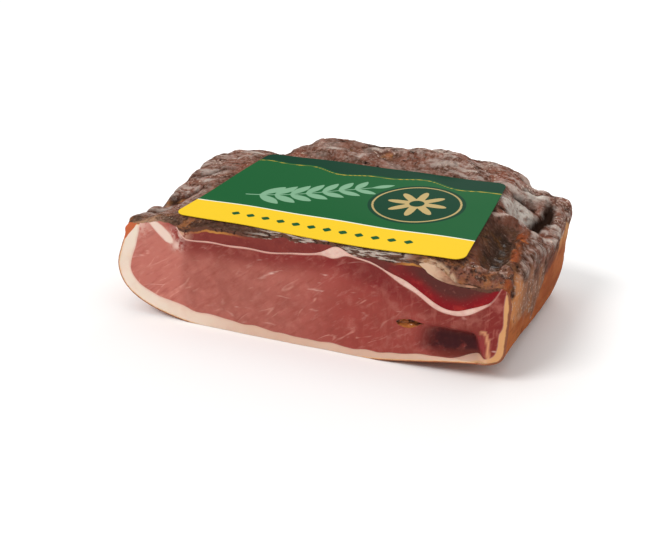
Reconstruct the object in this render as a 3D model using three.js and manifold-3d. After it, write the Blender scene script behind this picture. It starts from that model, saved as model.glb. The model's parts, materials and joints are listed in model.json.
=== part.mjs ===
// Half a speck ham: a boned, smoked and air-dried leg of pork, sliced straight across.
// It rests on its rind with the cut to the front. Millimetres: +X runs along the cut, +Y away from it, +Z up.
import * as THREE from "three";
import { mergeVertices } from "three/addons/utils/BufferGeometryUtils.js";
import Module from "manifold-3d";

const wasm = await Module();
wasm.setup();

// Driving sizes of the block
const DEPTH = 160;
const LEFT_REACH = 121.5;
const LEFT_LEAN = 8;
const RIGHT_REACH = 101.5;
const RIGHT_FLARE = 14;
const RIGHT_LEAN = 7;
const CROWN_FRONT = 59;
const CROWN_SLOPE = 0.148;
const CROWN_DROOP = 3.8;
const BACK_HUMP = 7.5;
const LEFT_RIM = { front: 55, back: 70 };
const RIGHT_RIM = { front: 60, back: 65 };
const FOOT_LIFT = 10;
const BACK_ROUND = 17;
const MIDDLE = new THREE.Vector3(-0.9, DEPTH / 2, 0);

// The layers that show at the cut
const GAP = 0.3;
const FAT_LEFT = 8.5;
const FAT_RIGHT = 3;
const FAT_BOTTOM_LEFT = 7.6;
const FAT_BOTTOM_RIGHT = 4.2;
const SEAM_LEVEL = 50;
const SEAM_DIP = 16;
const SEAM_THIN = 1.2;
const SEAM_THICK = 2.8;

// The paper label: where its front and back edges lie, and the ends of each, front first
const LABEL = { front: 6.4, back: 111.4, left: [-88, -75.3], right: [75, 79.8], skew: 1, round: 6 };
const LABEL_LIFT = 0.55;
const LABEL_THICK = 0.5;

// Folds dried into the crust: width of a fold, the way it runs, and how high it stands
const FOLDS = [
  { width: 47, angle: 0.35, height: 2.4, sway: 9 },
  { width: 33, angle: 1.9, height: 1.9, sway: 7 },
  { width: 19, angle: 1.05, height: 1.1, sway: 5 },
];

const { smoothstep, lerp } = THREE.MathUtils;
const bell = (x, middle, width) => Math.exp(-0.5 * ((x - middle) / width) ** 2);

// How far a plan corner has turned in at y, when it starts at `from` and is `reach` deep at the back
function cornerInset(y, from, reach) {
  const t = THREE.MathUtils.clamp((y - from) / (DEPTH - from), 0, 1);
  return reach * (1 - Math.sqrt(1 - t * t));
}

// The slope that the label lies on: it climbs from the cut, levels off behind the label, and droops at the cut
const crown = (x, y) =>
  CROWN_FRONT + CROWN_SLOPE * Math.min(y, 115) - CROWN_DROOP * bell(x, 26, 27) * (1 - smoothstep(y, 4, 38));

// The left rim climbs too, with a crease across it a third of the way back
const leftRim = (y) => lerp(LEFT_RIM.front, LEFT_RIM.back, smoothstep(y, 25, 125)) - 5 * bell(y, 44, 4.5);

const rightRim = (y) => lerp(RIGHT_RIM.front, RIGHT_RIM.back, smoothstep(y, 100, 135));

// The crust's height over the board, before its folds
function crustHeight(x, y) {
  const edge = x < 0 ? leftRim(y) : rightRim(y);
  const inward = x < 0 ? smoothstep(x, -112, -82) : 1 - smoothstep(x, 76, 97);
  const atBack = smoothstep(y, 112, 140);
  const hump = BACK_HUMP * atBack * smoothstep(x, -75, -47) * (1 - smoothstep(x, 37, 90));
  const nearCut = 1 - smoothstep(y, 0, 10);
  const sag = nearCut * (3.5 * bell(x, -79, 7) + 8 * smoothstep(x, 58, 76));
  const saddle = 5 * bell(x, -79, 10) * atBack;
  const trough = 6 * bell(x, 89, 6) * smoothstep(y, -8, 14) * (1 - smoothstep(y, 66, 82));
  const hollow = 8 * bell(y, 93, 9) * smoothstep(x, 79, 90) * (1 - smoothstep(x, 103, 112));
  const knob = 4 * bell(x, 110, 7) * bell(y, 124, 13);
  return lerp(edge, crown(x, y), inward) + hump + knob - sag - saddle - trough - hollow;
}

// The left side leans in towards the crust, more so at the cut
const leftSide = (z, y) =>
  -LEFT_REACH + LEFT_LEAN * (1 - 0.7 * smoothstep(y, 0, 16)) * smoothstep(z, 24, 58) + cornerInset(y, 130, 15);

const rightSide = (z, y) =>
  RIGHT_REACH + (y / DEPTH) * (RIGHT_FLARE + (RIGHT_LEAN * z) / 60) - cornerInset(y, 124, 12);

// The rind lies flat on the board, turns up a little to the left and lifts from it at the right end of the cut
const underside = (x, y) =>
  -1.5 + 6.5 * smoothstep(-x, 58, 118) + (FOOT_LIFT + 1.5) * smoothstep(x, 15, 105) * (1 - 0.9 * smoothstep(y, 0, 110));

// How much a point on top lies under the label: 1 well inside, 0 outside
function underLabel(x, y) {
  const v = (y - LABEL.front) / (LABEL.back - LABEL.front);
  const left = lerp(...LABEL.left, v);
  const right = lerp(...LABEL.right, v);
  const across = smoothstep(x, left - 9, left) * (1 - smoothstep(x, right, right + 9));
  return across * smoothstep(y, LABEL.front - 6, LABEL.front) * (1 - smoothstep(y, LABEL.back, LABEL.back + 7));
}

// Height of the folds at p along the skin, unrolled to left and right, and y into the block:
// rounded lumps with sharp creases between them
function folds(p, y) {
  return FOLDS.reduce((sum, { width, angle, height, sway }) => {
    const across = p * Math.cos(angle) + y * Math.sin(angle);
    const along = y * Math.cos(angle) - p * Math.sin(angle);
    const bent = across + sway * Math.sin(along / (0.45 * width) + angle);
    return sum + height * (Math.abs(Math.sin((Math.PI * bent) / width)) - 0.6);
  }, 0);
}

// A closed outline, counter-clockwise from the left end of its foot: four edges that meet in rounded corners.
// `edges` gives each edge's place, `corner` how far each rounding reaches along the two edges that it joins.
function outline({ left, right, foot, top }, corner, count) {
  const bend = (from, knee, to, n) =>
    new THREE.QuadraticBezierCurve(new THREE.Vector2(...from), new THREE.Vector2(...knee), new THREE.Vector2(...to))
      .getPoints(n)
      .slice(0, -1);
  const run = (from, to, n, at) =>
    Array.from({ length: n }, (_, i) => new THREE.Vector2(...at(lerp(from, to, i / n))));
  const onFoot = (x) => [x, foot(x)];
  const onTop = (x) => [x, top(x)];
  const onLeft = (z) => [left(z), z];
  const onRight = (z) => [right(z), z];
  const { footLeft, footRight, topLeft, topRight } = corner;
  const x0 = left(0) + footLeft[0];
  const x1 = right(0) - footRight[0];
  const z1 = foot(x1) + footRight[1];
  const z2 = top(right(50)) - topRight[1];
  const x2 = right(z2) - topRight[0];
  const z3 = top(left(50)) - topLeft[1];
  const x3 = left(z3) + topLeft[0];
  const z0 = foot(left(0)) + footLeft[1];
  return [
    ...run(x0, x1, count.foot, onFoot),
    ...bend(onFoot(x1), [right(0), foot(right(0))], onRight(z1), count.corner),
    ...run(z1, z2, count.side, onRight),
    ...bend(onRight(z2), [right(z2), top(x2)], onTop(x2), count.corner),
    ...run(x2, x3, count.top, onTop),
    ...bend(onTop(x3), [left(z3), top(x3)], onLeft(z3), count.corner),
    ...run(z3, z0, count.side, onLeft),
    ...bend(onLeft(z0), [left(0), foot(left(0))], onFoot(x0), count.corner + 3),
  ];
}

// A closed surface through rings of equal length, each about square to Y. The first and last are filled in.
function loft(rings) {
  const n = rings[0].length;
  const index = [];
  for (let r = 0; r + 1 < rings.length; r += 1) {
    for (let i = 0; i < n; i += 1) {
      const a = r * n + i;
      const b = r * n + ((i + 1) % n);
      index.push(a, a + n, b, b, a + n, b + n);
    }
  }
  const fill = (ring) => THREE.ShapeUtils.triangulateShape(ring.map((p) => new THREE.Vector2(p.x, p.z)), []);
  const last = (rings.length - 1) * n;
  for (const [a, b, c] of fill(rings[0])) index.push(a, b, c);
  for (const [a, b, c] of fill(rings.at(-1))) index.push(last + a, last + c, last + b);
  return new THREE.BufferGeometry().setFromPoints(rings.flat()).setIndex(index);
}

function toSolid(geometry) {
  const bare = geometry.clone();
  bare.deleteAttribute("normal");
  bare.deleteAttribute("uv");
  const merged = mergeVertices(bare, 1e-4);
  return new wasm.Manifold(
    new wasm.Mesh({
      numProp: 3,
      vertProperties: Float32Array.from(merged.attributes.position.array),
      triVerts: Uint32Array.from(merged.index.array),
    }),
  );
}

function toGeometry(solid) {
  const { numProp, vertProperties, triVerts } = solid.getMesh();
  const data = new THREE.InterleavedBuffer(vertProperties, numProp);
  return new THREE.BufferGeometry()
    .setAttribute("position", new THREE.InterleavedBufferAttribute(data, 3, 0))
    .setIndex(new THREE.BufferAttribute(triVerts, 1))
    .toNonIndexed();
}

// One slice of the whole block at y, with the crust's folds on its top and upper sides
function blockRing(y) {
  const corner = {
    footLeft: [50, 24],
    footRight: [17, 13],
    topLeft: [8, 7],
    topRight: [8 + 8 * (y / DEPTH), 9 + 4 * (y / DEPTH)],
  };
  const flat = outline(
    {
      left: (z) => leftSide(z, y),
      right: (z) => rightSide(z, y),
      foot: (x) => underside(x, y),
      top: (x) => crustHeight(x, y),
    },
    corner,
    { foot: 9, side: 5, top: 42, corner: 4 },
  );
  const t = THREE.MathUtils.clamp((y - DEPTH + BACK_ROUND) / BACK_ROUND, 0, 1);
  const inset = BACK_ROUND * (1 - Math.sqrt(1 - t * t));
  const centre = new THREE.Vector2(flat.reduce((sum, q) => sum + q.x, 0) / flat.length, 34);
  const shrink = new THREE.Vector2(1 - inset / 118, 1 - inset / 40);
  return flat.map((q, i) => {
    const ahead = flat[(i + 1) % flat.length];
    const behind = flat[(i + flat.length - 1) % flat.length];
    const out = new THREE.Vector2(ahead.y - behind.y, behind.x - ahead.x).normalize();
    const drop = crustHeight(q.x, y) - q.y;
    const unrolled = q.x + Math.sign(q.x) * drop;
    const open = 1 - 0.95 * underLabel(q.x, y) * smoothstep(out.y, 0.3, 0.8);
    const share = smoothstep(q.y, 8, 45) * (q.x < 0 && out.y < 0.5 ? 0.35 : 1);
    const lifted = q.clone().addScaledVector(out, folds(unrolled, y) * open * share);
    lifted.sub(centre).multiply(shrink).add(centre);
    return new THREE.Vector3(lifted.x, y, lifted.y);
  });
}

// The whole block, trimmed level where it rests on the board
function block() {
  const straight = DEPTH - BACK_ROUND;
  const steps = 27;
  const rows = Array.from({ length: steps + 1 }, (_, i) => (straight * i) / steps);
  const turning = [0.35, 0.62, 0.82, 0.95, 1].map((t) => straight + BACK_ROUND * t);
  const whole = toSolid(loft([...rows, ...turning].map(blockRing)));
  const board = new THREE.BoxGeometry(400, 400, 60).translate(0, DEPTH / 2, -30);
  return whole.subtract(toSolid(board));
}

// All that lies inside the fat: the meat, run past the crust and past both ends so that it cuts cleanly.
// `grow` is how far its wall stands out from the fat's inner face.
function flesh(grow) {
  const fat = (x) => lerp(FAT_BOTTOM_LEFT, FAT_BOTTOM_RIGHT, smoothstep(x, -80, 0)) - grow;
  const ring = (y) => {
    const at = THREE.MathUtils.clamp(y, 0, DEPTH);
    return outline(
      {
        left: (z) => leftSide(z, at) + FAT_LEFT - grow,
        right: (z) => rightSide(z, at) - FAT_RIGHT + grow,
        foot: (x) => Math.max(underside(x, at), 0) + fat(x),
        top: () => 130,
      },
      { footLeft: [46, 15], footRight: [12, 10], topLeft: [1, 1], topRight: [1, 1] },
      { foot: 12, side: 8, top: 1, corner: 4 },
    ).map((q) => new THREE.Vector3(q.x, y, q.y));
  };
  return toSolid(loft([-5, 0, 26, 52, 78, 96, 108, 120, 131, 141, 150, DEPTH, DEPTH + 5].map(ring)));
}

// Middle of the white seam between the two muscles: it leaves the crust at the left, swells over the main muscle,
// dips to the right and climbs out again. Further back it rises with the crust.
function seamLevel(x, y) {
  const swell = 4.5 * bell(x, 12, 17);
  const dip = SEAM_DIP * bell(x, 74, x < 74 ? 17 : 13.5);
  const ends = 22 * smoothstep(-x, 76, 94) + 22 * smoothstep(x, 90, 106);
  const climb = 0.8 * CROWN_SLOPE * THREE.MathUtils.clamp(y, 0, 115);
  return SEAM_LEVEL + swell - dip + ends + climb;
}

const seamThickness = (x) =>
  lerp(SEAM_THIN, SEAM_THICK, smoothstep(x, 22, 46) * (1 - smoothstep(x, 80, 94))) + 2 * bell(x, 8, 5);

// A slab over the whole plan of the block, between two heights
function slab(low, high) {
  const ring = (y) => {
    const xs = Array.from({ length: 36 }, (_, i) => lerp(-140, 140, i / 35));
    return [
      ...xs.map((x) => new THREE.Vector3(x, y, low(x, y))),
      ...xs.reverse().map((x) => new THREE.Vector3(x, y, high(x, y))),
    ];
  };
  return toSolid(loft([-6, 0, 30, 60, 90, 115, 130, 143, DEPTH, DEPTH + 6].map(ring)));
}

// A strip of fat that dives from the crust at the left end of the cut, from `grow` outside its own skin
function fatStrip(grow) {
  const head = new THREE.Vector2(-101, 60);
  const tip = new THREE.Vector2(-82.5, 44.5);
  const half = 2.4 + grow;
  const along = tip.clone().sub(head).normalize();
  const side = new THREE.Vector2(-along.y, along.x);
  const place = (s, t) => head.clone().lerp(tip, s).addScaledVector(side, t * half);
  const shape = [
    place(-0.5, -1),
    place(0.55, -1.15),
    place(0.9, -0.8),
    tip.clone().addScaledVector(along, grow),
    place(0.85, 0.7),
    place(0.5, 1),
    place(-0.5, 1),
  ];
  const ring = (y) => {
    const climb = crustHeight(-92, Math.max(y, 0)) - crustHeight(-92, 0);
    return shape.map((q) => new THREE.Vector3(q.x, y, q.y + climb));
  };
  return toSolid(loft([-4, 0, 40, 80, 112 + grow].map(ring)));
}

// A pad of fat in the rolled edge over the right end of the cut
function fatPad(grow) {
  const pad = new THREE.SphereGeometry(1, 14, 10);
  pad.scale(17 + grow, 13 + grow, 3.4 + grow).rotateY(THREE.MathUtils.degToRad(12));
  return toSolid(pad.translate(71, 0, 53.2));
}

// Hollows in the cut: a small pocket beside the bone's old place, and the fold at the foot of the right end
function hollows() {
  const pocket = new THREE.SphereGeometry(1, 16, 10).scale(7, 5, 3.2);
  const fold = new THREE.SphereGeometry(1, 18, 12).scale(17, 8, 6.5);
  return toSolid(pocket.rotateY(-0.12).translate(49.5, 0, 24)).add(
    toSolid(fold.rotateY(-0.1).translate(74, 0, 17.5)),
  );
}

// The paper label, lying over the crust, with rounded corners
function label() {
  const { front, back, left, right, skew, round } = LABEL;
  const depth = back - front;
  const near = [0, 0.3, 0.65, 1].map((t) => round * t);
  const middle = Array.from({ length: 7 }, (_, i) => lerp(round, depth - round, (i + 1) / 8));
  const far = near.map((d) => depth - d).reverse();
  const ring = (d) => {
    const end = Math.min(d, depth - d, round);
    const inset = round - Math.sqrt(round ** 2 - (round - end) ** 2);
    const from = lerp(...left, d / depth) + inset;
    const to = lerp(...right, d / depth) - inset;
    const place = (u, lift) => {
      const x = lerp(from, to, u);
      const y = front + d + lerp(skew, -skew, u);
      return new THREE.Vector3(x, y, crown(x, y) + lift);
    };
    const spread = Array.from({ length: 15 }, (_, i) => i / 14);
    return [
      ...spread.map((u) => place(u, LABEL_LIFT)),
      ...spread.reverse().map((u) => place(u, LABEL_LIFT + LABEL_THICK)),
    ];
  };
  return toSolid(loft([...near, ...middle, ...far].map(ring)));
}

const FINISHES = {
  lean: { color: 0xb0504e, roughness: 0.42 },
  darkLean: { color: 0x8a2a30, roughness: 0.38 },
  fat: { color: 0xecd9c2, roughness: 0.45 },
  paper: { color: 0x1f6b3d, roughness: 0.35 },
};

const ham = new THREE.Group();

function addPiece(name, solid, finish) {
  const geometry = toGeometry(solid).translate(-MIDDLE.x, -MIDDLE.y, -MIDDLE.z);
  geometry.computeVertexNormals();
  const material = new THREE.MeshStandardMaterial({ ...FINISHES[finish], metalness: 0 });
  const mesh = new THREE.Mesh(geometry, material);
  mesh.name = name;
  ham.add(mesh);
}

// Of what a cut leaves, the one true piece, without slivers
const main = (solid) => solid.decompose().reduce((a, b) => (b.volume() > a.volume() ? b : a));

const cut = block().subtract(hollows());
const meat = cut.intersect(flesh(-GAP)).subtract(fatStrip(GAP)).subtract(fatPad(GAP));
const seamLow = (x, y) => seamLevel(x, y) - seamThickness(x) / 2;
const seamHigh = (x, y) => seamLevel(x, y) + seamThickness(x) / 2;
const under = () => -20;
const over = () => 140;

addPiece("lean_main", main(meat.subtract(slab((x, y) => seamLow(x, y) - GAP, over))), "lean");
addPiece("lean_upper", main(meat.subtract(slab(under, (x, y) => seamHigh(x, y) + GAP))), "darkLean");
addPiece("fat_seam", main(meat.intersect(slab(seamLow, seamHigh))), "fat");
addPiece("fat_strip", main(cut.intersect(flesh(-GAP)).intersect(fatStrip(0))), "fat");
addPiece("fat_pad", main(cut.intersect(flesh(-GAP)).intersect(fatPad(0))), "fat");
addPiece("fat_cap", main(cut.subtract(flesh(0))), "fat");
addPiece("label", label(), "paper");

export default ham;
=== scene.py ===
import json
import math

import bmesh
import bpy
import numpy as np
from mathutils import Euler, Matrix, Vector, noise
from mathutils.bvhtree import BVHTree

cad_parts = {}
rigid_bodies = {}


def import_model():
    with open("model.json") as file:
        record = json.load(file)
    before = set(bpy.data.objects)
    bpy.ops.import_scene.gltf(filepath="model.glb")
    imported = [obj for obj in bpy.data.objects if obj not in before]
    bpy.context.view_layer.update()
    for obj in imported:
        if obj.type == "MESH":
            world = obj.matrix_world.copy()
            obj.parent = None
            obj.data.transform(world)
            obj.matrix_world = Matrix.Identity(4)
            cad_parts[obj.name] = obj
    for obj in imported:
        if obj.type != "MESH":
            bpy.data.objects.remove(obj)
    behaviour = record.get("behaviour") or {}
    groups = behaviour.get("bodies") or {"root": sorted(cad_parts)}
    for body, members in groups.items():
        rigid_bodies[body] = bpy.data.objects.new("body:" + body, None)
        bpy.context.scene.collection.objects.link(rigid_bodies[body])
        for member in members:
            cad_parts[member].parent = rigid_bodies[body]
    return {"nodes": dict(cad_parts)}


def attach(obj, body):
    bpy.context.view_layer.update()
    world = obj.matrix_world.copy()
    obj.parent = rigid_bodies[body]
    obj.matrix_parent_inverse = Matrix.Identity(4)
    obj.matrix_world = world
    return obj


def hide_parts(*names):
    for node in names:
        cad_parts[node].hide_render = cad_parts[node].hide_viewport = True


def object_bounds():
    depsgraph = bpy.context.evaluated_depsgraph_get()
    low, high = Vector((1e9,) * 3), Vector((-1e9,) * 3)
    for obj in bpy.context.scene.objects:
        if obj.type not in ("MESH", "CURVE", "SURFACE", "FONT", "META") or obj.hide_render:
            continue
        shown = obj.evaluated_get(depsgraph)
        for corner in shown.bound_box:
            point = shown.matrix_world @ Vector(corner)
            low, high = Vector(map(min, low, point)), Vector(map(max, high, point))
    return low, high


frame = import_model()
CAD_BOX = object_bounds()
MM = 0.001

# noise_vector() draws its offsets from the seed, so that the wrinkles are the same each time
noise.seed_set(2)

# Shape of the block, close to that of its solids
DEPTH = (CAD_BOX[1].y - CAD_BOX[0].y) / MM
MIDDLE = np.array([-0.9, DEPTH / 2, 0.0])
LEFT_REACH, LEFT_LEAN = 121.5, 8.0
RIGHT_REACH, RIGHT_FLARE, RIGHT_LEAN = 101.5, 14.0, 7.0
BELLY, BELLY_LEVEL, BELLY_SPREAD = 2.8, 21, 11
CROWN_FRONT, CROWN_SLOPE, CROWN_DROOP = 59.0, 0.148, 1.7
LEFT_RIM, RIGHT_RIM = (55.0, 70.0), (60.0, 65.0)
BACK_HUMP, BACK_ROUND, FOOT_LIFT = 7.5, 17.0, 10.0
FAT_LEFT, FAT_RIGHT, FAT_BOTTOM = 8.5, 3.0, (7.6, 4.2)
SEAM_LEVEL, SEAM_DIP, SEAM_THIN, SEAM_THICK = 50.0, 16.0, 1.2, 2.8
STRIP_HEAD, STRIP_TIP, STRIP_HALF = (-101.0, 60.0), (-84.0, 46.0), 2.4
PAD_RADII, PAD_TURN, PAD_PLACE = (16, 13, 4.4), 15, (70, 0, 53.8)
POCKET_RADII, POCKET_TURN, POCKET_PLACE = (7, 5, 2.3), -7, (52, 0, 24.3)
LABEL_FRONT, LABEL_BACK = 6.4, 111.4
LABEL_LEFT, LABEL_RIGHT = (-88.0, -75.3), (75.0, 79.8)
LABEL_SKEW, LABEL_ROUND, LABEL_LIFT, LABEL_THICK = 1.0, 6.0, 0.55, 0.35

# Folds dried into the crust: width, the way they run, height and sway
FOLDS = ((47, 0.35, 2.4, 9), (33, 1.9, 1.9, 7), (19, 1.05, 1.1, 5))

# Single lips and creases of the crust on its plan: start, end, sideways bow, height and half width
LIPS = (
    ((-27, -1), (18, -1), 0.0, 3.8, 2.5),
    ((73, 7), (95, 13), -1.5, 1.5, 1.7),
    ((76, 69), (99, 84), 1.5, 3.0, 1.3),
    ((79, 78), (98, 92), 1.5, -2.4, 1.3),
    ((84, 107), (99, 116), 1.5, -2.4, 1.4),
    ((96, -4), (98, 74), 0.8, 1.0, 2.4),
    ((96, 90), (107, 122), -1.5, -4.0, 2.2),
    ((82, 121), (108, 133), 2.0, -1.8, 2.0),
    ((80, 141), (104, 138), 1.0, 2.4, 5.0),
    ((-16, 133), (58, 129), 3.0, 2.0, 1.7),
    ((24, 140), (66, 143), -1.5, 1.6, 1.6),
    ((-52, 126), (-8, 121), 2.0, 1.5, 2.0),
    ((52, 119), (88, 126), 1.5, 1.6, 1.8),
    ((-44, 138), (12, 146), 2.0, -1.6, 2.0),
    ((-119, 47), (-92, 54), 2.0, -2.2, 2.2),
    ((-120, 23), (-98, 31), -1.0, -1.8, 1.8),
    ((-112, 74), (-84, 84), 2.5, -1.2, 2.2),
    ((-112, 104), (-80, 100), 2.0, 1.3, 2.2),
)

# Smooth pale sheets of dried tissue in the hollow, drawn in the same way
SHEETS = (((81, 88), (98, 108), 1.5, 3.0, 4.5), ((90, 119), (103, 127), 1.0, 2.2, 3.5))

# Orange tips of the crust, as the middle and spread of each along X and along Y
ORANGE_TIPS = (((97, 3.5), (60, 11)), ((97, 2.2), (31, 7)), ((98, 2), (0, 4)), ((90, 6), (147, 3)))

# Small flecks of fat at the top left of the cut, as the middle and spread of each along X and along Z
FAT_FLECKS = (((-107, 5), (58, 6)), ((-80, 4), (52, 2.5)), ((-82, 2.5), (45, 2)))

# Streak of tan fat at the lower right of the cut, as points along X and Z
SIDE_STREAK = ((88.5, 26.5), (90.3, 27), (91.8, 24), (92.8, 18), (93.4, 12))

# Print of the label, in millimetres from its front left corner
SPRIG_ROOT, SPRIG_LONG, SPRIG_RISE = (22.0, 38.0), 62.0, 34
MEDALLION = (117, 58)

# Inks of the label's print, laid over its green ground in this order
LABEL_INKS = {
    "back_border": "#163c2b",
    "border_line": "#d9b03a",
    "medallion": "#173f2c",
    "ring": "#b7a06c",
    "flower": "#b7a06c",
    "flower_heart": "#173f2c",
    "sprig": "#7ba585",
    "white_line": "#e4e6d4",
    "front_band": "#e9c12c",
    "lozenges": "#1c5430",
}

# Spacing of the points on the crust, the rind under the block and the cut, and the gap between pieces
COARSE = 1
CRUST_STEP, FOOT_STEP, CUT_STEP = 0.95 * COARSE, 2.2 * COARSE, 1.1 * COARSE
GAP = 0.03

# Heights past the block at which the shapes that carve it end
ABOVE_ALL, OVER_CRUST, BELOW_ALL = 140.0, 130.0, -20.0

# Degrees by which the grain of the lean rises, and the angle past which an edge is shown sharp
GRAIN_TURN, SHARP_ANGLE = 38, 50

# Floor, lights and camera, with angles in degrees
FLOOR_REACH, FLOOR_LEVEL = 6e4, -0.2
WINDOW_PLACE, WINDOW_SPREAD, WINDOW_POWER = (-500, -640, 760), 25, 1.75
LAMP_PLACE, LAMP_SIDES, LAMP_POWER = (0, 900, 450), (600, 100), 2.5
LIT_PLACE = (0, 0, 40)
CAMERA_PLACE, CAMERA_LENS = (131.8, -367.9, 190.5), 44.3
CAMERA_TURN, CAMERA_TILT, CAMERA_ROLL = 19, 69.03, 2.79


# Shapes shared by all pieces
def smoothstep(x, low, high):
    t = np.clip((np.asarray(x, float) - low) / (high - low), 0, 1)
    return t * t * (3 - 2 * t)


def bell(x, middle, width):
    return np.exp(-0.5 * ((np.asarray(x, float) - middle) / width) ** 2)


def lerp(a, b, t):
    return a + (b - a) * t


def corner_inset(y, start, reach):
    """How far a plan corner has turned in at y. It starts at start and is reach deep at the back."""
    t = np.clip((y - start) / (DEPTH - start), 0, 1)
    return reach * (1 - np.sqrt(1 - t * t))


def crown(x, y):
    """The slope that the label lies on. It droops at the cut."""
    droop = CROWN_DROOP * bell(x, 15, 24) * (1 - smoothstep(y, 4, 38))
    return CROWN_FRONT + CROWN_SLOPE * np.minimum(y, 115) - droop


def crust_height(x, y):
    """Height of the crust over the plan, without its folds."""
    left_rim = lerp(*LEFT_RIM, smoothstep(y, 25, 116)) - 5 * bell(y, 44, 4.5)
    right_rim = lerp(*RIGHT_RIM, smoothstep(y, 100, 135))
    edge = np.where(x < 0, left_rim, right_rim)
    inward = np.where(x < 0, smoothstep(x, -112, -82), 1 - smoothstep(x, 76, 97))
    at_back = smoothstep(y, 112, 140)
    hump = BACK_HUMP * at_back * smoothstep(x, -75, -47) * (1 - smoothstep(x, 37, 90))
    near_cut = 1 - smoothstep(y, 0, 10)
    sag = near_cut * (3.5 * bell(x, -79, 7) + 8 * smoothstep(x, 58, 76))
    saddle = 8 * bell(x, -82, 10) * smoothstep(y, 108, 134)
    trough = 7.5 * bell(x, 88, 6.5) * smoothstep(y, -8, 14) * (1 - smoothstep(y, 66, 82))
    hollow = 9 * bell(y, 93, 9) * smoothstep(x, 79, 90) * (1 - smoothstep(x, 103, 112))
    knob = 4 * bell(x, 110, 7) * bell(y, 124, 13)
    return lerp(edge, crown(x, y), inward) + hump + knob - sag - saddle - trough - hollow


def left_side(z, y):
    lean = LEFT_LEAN * (1 - 0.7 * smoothstep(y, 0, 16))
    return -LEFT_REACH + lean * smoothstep(z, 24, 58) + corner_inset(y, 130, 15)


def right_side(z, y):
    belly = BELLY * bell(z, BELLY_LEVEL, BELLY_SPREAD) * smoothstep(y, 70, 140)
    flare = (y / DEPTH) * (RIGHT_FLARE + RIGHT_LEAN * z / 60)
    return RIGHT_REACH + flare + belly - corner_inset(y, 124, 12)


def underside(x, y):
    lifted = (FOOT_LIFT + 1.5) * smoothstep(x, 15, 105) * (1 - 0.9 * smoothstep(y, 0, 110))
    return -1.5 + 6.5 * smoothstep(-np.asarray(x, float), 58, 118) + lifted


def under_label(x, y):
    """1 where the label lies over the crust, 0 outside it."""
    v = (y - LABEL_FRONT) / (LABEL_BACK - LABEL_FRONT)
    left, right = lerp(*LABEL_LEFT, v), lerp(*LABEL_RIGHT, v)
    across = smoothstep(x - left, -9, 0) * (1 - smoothstep(x - right, 0, 9))
    begun = smoothstep(y, LABEL_FRONT - 6, LABEL_FRONT)
    return across * begun * (1 - smoothstep(y, LABEL_BACK, LABEL_BACK + 7))


def folds(p, y):
    """Height of the folds where p is the way over the crust from the middle of its top."""
    total = 0
    for width, angle, height, sway in FOLDS:
        across = p * math.cos(angle) + y * math.sin(angle)
        along = y * math.cos(angle) - p * math.sin(angle)
        bent = across + sway * np.sin(along / (0.45 * width) + angle)
        total = total + height * (np.abs(np.sin(math.pi * bent / width)) - 0.6)
    return total


def outline(left, right, foot, top, corner, count):
    """A closed outline with rounded corners, counter-clockwise from the left of its foot."""
    def bend(start, knee, end, n):
        t = np.arange(n)[:, None] / n
        start, knee, end = (np.array(p, float) for p in (start, knee, end))
        return (1 - t) ** 2 * start + 2 * t * (1 - t) * knee + t * t * end

    def run(start, end, n, at):
        return np.stack(at(lerp(start, end, np.arange(n) / n)), 1)

    def on_foot(x):
        return x, foot(x)

    def on_top(x):
        return x, top(x)

    def on_left(z):
        return left(z), z

    def on_right(z):
        return right(z), z

    x0 = left(0) + corner["foot_left"][0]
    x1 = right(0) - corner["foot_right"][0]
    z1 = foot(x1) + corner["foot_right"][1]
    z2 = top(right(50)) - corner["top_right"][1]
    x2 = right(z2) - corner["top_right"][0]
    z3 = top(left(50)) - corner["top_left"][1]
    x3 = left(z3) + corner["top_left"][0]
    z0 = foot(left(0)) + corner["foot_left"][1]
    return np.concatenate([
        run(x0, x1, count["foot"], on_foot),
        bend(on_foot(x1), (right(0), foot(right(0))), on_right(z1), count["corner"]),
        run(z1, z2, count["side"], on_right),
        bend(on_right(z2), (right(z2), top(x2)), on_top(x2), count["corner"]),
        run(x2, x3, count["top"], on_top),
        bend(on_top(x3), (left(z3), top(x3)), on_left(z3), count["corner"]),
        run(z3, z0, count["side"], on_left),
        bend(on_left(z0), (left(0), foot(left(0))), on_foot(x0), count["corner"] * 2),
    ])


# Meshes
def mesh_object(name, points, faces, materials=()):
    """An object from points in millimetres in the block's frame."""
    mesh = bpy.data.meshes.new(name)
    mesh.from_pydata((np.asarray(points, float) - MIDDLE) * MM, [], faces)
    for material in materials:
        mesh.materials.append(material)
    shape = bpy.data.objects.new(name, mesh)
    bpy.context.scene.collection.objects.link(shape)
    return shape


def face_outwards(shape):
    work = bmesh.new()
    work.from_mesh(shape.data)
    bmesh.ops.recalc_face_normals(work, faces=work.faces)
    work.to_mesh(shape.data)
    work.free()
    return shape


def loft(name, rings, material):
    """A closed solid through rings of equal length, its two ends filled in."""
    rings = np.asarray(rings, float)
    rows, n = rings.shape[:2]
    faces = [
        (r * n + i, r * n + (i + 1) % n, (r + 1) * n + (i + 1) % n, (r + 1) * n + i)
        for r in range(rows - 1)
        for i in range(n)
    ]
    faces += [tuple(range(n)), tuple((rows - 1) * n + i for i in range(n))]
    return face_outwards(mesh_object(name, rings.reshape(-1, 3), faces, [material]))


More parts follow.
